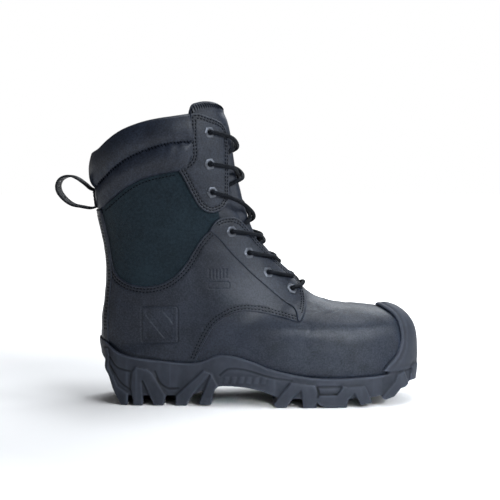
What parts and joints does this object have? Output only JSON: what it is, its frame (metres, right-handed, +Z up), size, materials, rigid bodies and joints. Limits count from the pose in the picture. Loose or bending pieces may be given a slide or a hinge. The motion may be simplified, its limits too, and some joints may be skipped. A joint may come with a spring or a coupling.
{
  "type": "work boot",
  "caption": "Laced leather work boot for the right foot with a steel toe cap, padded collar, rear pull loop and deep-lugged rubber sole.",
  "frame": {"origin": "on the ground, at the centre of the boot's box in length and width", "axes": "+X towards the toe, +Y towards the inner side of the foot, +Z up"},
  "size_m": [0.3511, 0.1222, 0.2896],
  "materials": {
    "sole_rubber": "matt moulded rubber",
    "midsole_foam": "fine foam",
    "filler_cork": "pressed cork",
    "board_fibre": "pressed fibre",
    "steel": "pressed steel",
    "footbed_foam": "cloth over foam",
    "foam": "open-cell foam",
    "counter_board": "moulded board",
    "lining_cloth": "knitted lining",
    "leather": "oiled full grain",
    "nylon_cloth": "heavy woven nylon",
    "webbing": "woven webbing",
    "eyelet_metal": "gunmetal",
    "lace_cord": "round braid",
    "aglet_plastic": "clear film over braid"
  },
  "bodies": {
    "boot": {"outsole": "sole_rubber", "midsole": "midsole_foam", "bottom_filler": "filler_cork", "shank": "steel", "insole_board": "board_fibre", "toe_bumper": "sole_rubber", "steel_toe_cap": "steel", "toe_cap_pad": "foam", "heel_counter": "counter_board", "ankle_padding": "foam", "lining_collar": "lining_cloth", "lining_heel": "lining_cloth", "lining_forefoot": "lining_cloth", "vamp": "leather", "quarter_lateral": "leather", "quarter_medial": "leather", "side_panel_lateral": "nylon_cloth", "side_panel_medial": "nylon_cloth", "lower_eyestay_lateral": "leather", "lower_eyestay_medial": "leather", "upper_eyestay_lateral": "leather", "upper_eyestay_medial": "leather", "collar_roll_lower": "leather", "collar_roll_upper": "leather", "backstay": "leather", "tongue": "leather", "gusset_lateral": "lining_cloth", "gusset_medial": "lining_cloth", "eyelets_lower": "eyelet_metal", "eyelets_upper": "eyelet_metal", "lace": "lace_cord", "aglets": "aglet_plastic", "loop_anchor": "webbing"},
    "loop": {"pull_loop": "webbing"},
    "footbed": {"footbed": "footbed_foam"}
  },
  "joints": [
    {"name": "pull_loop_swing", "type": "hinge", "parent": "boot", "child": "loop", "pos_m": [-0.1355, 0, 0.194], "axis": [0, 1, 0], "range_deg": [-25, 8], "stiffness_Nm_per_rad": 0.02},
    {"name": "footbed_lift", "type": "hinge", "parent": "boot", "child": "footbed", "pos_m": [0.16, 0, 0.034], "axis": [0, 1, 0], "range_deg": [0, 6]}
  ]
}
